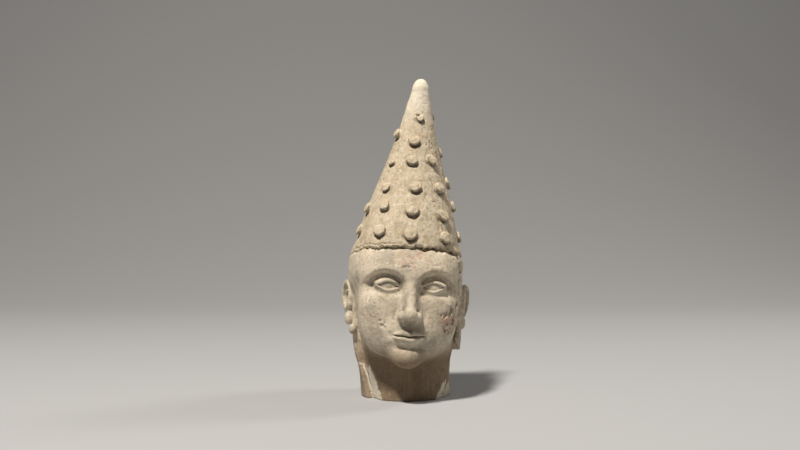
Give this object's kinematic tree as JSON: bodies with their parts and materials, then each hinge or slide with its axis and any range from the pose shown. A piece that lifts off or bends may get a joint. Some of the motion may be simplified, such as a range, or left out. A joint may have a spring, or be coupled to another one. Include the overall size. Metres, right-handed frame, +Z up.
{
  "type": "prince statue head",
  "caption": "Modelled clay head of a prince in a tall pointed hat with rows of round pellets, long ears, drop earrings and a neck cut flat so that it stands alone.",
  "frame": {"origin": "middle of the neck's flat foot", "axes": "+Z up to the hat's tip, the face looks along -Y, the head's left is +X"},
  "size_m": [0.1907, 0.2124, 0.4693],
  "materials": {
    "modelled_clay": "matte"
  },
  "bodies": {
    "root": {"prince_head": "modelled_clay"}
  },
  "joints": []
}
